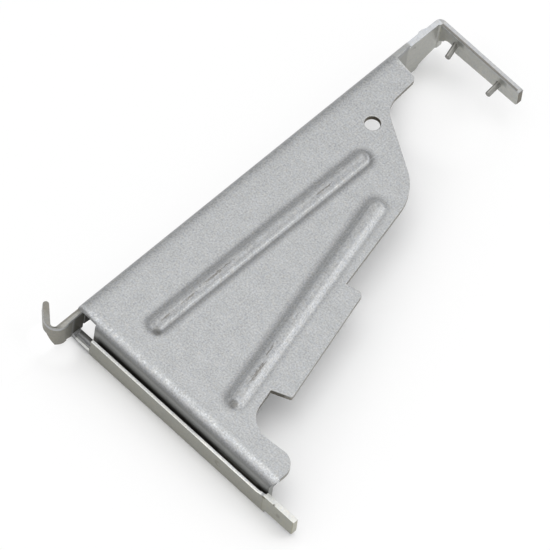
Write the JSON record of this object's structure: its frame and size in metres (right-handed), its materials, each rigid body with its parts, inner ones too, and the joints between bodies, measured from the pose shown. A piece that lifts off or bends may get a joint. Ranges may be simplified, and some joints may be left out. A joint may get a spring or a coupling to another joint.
{
  "type": "sheet metal angle bracket",
  "caption": "Long folded galvanised sheet bracket: ribbed plate with a screw hole, side flange, front slot channel, curled hook end and a cross arm with pins.",
  "frame": {"origin": "centre of the plate's screw hole, at the plate's lower face", "axes": "+Z out of the plate's upper face, +Y along the long flange towards the cross arm, +X from the long flange towards the free end of the front strip"},
  "size_m": [0.1038, 0.1656, 0.021],
  "materials": {
    "galvanised": "hot-dip galvanised, matt with a fine spangle",
    "pin_steel": "dull plated, slightly darker than the sheet"
  },
  "bodies": {
    "root": {"bracket": "galvanised", "pins": "pin_steel"}
  },
  "joints": []
}
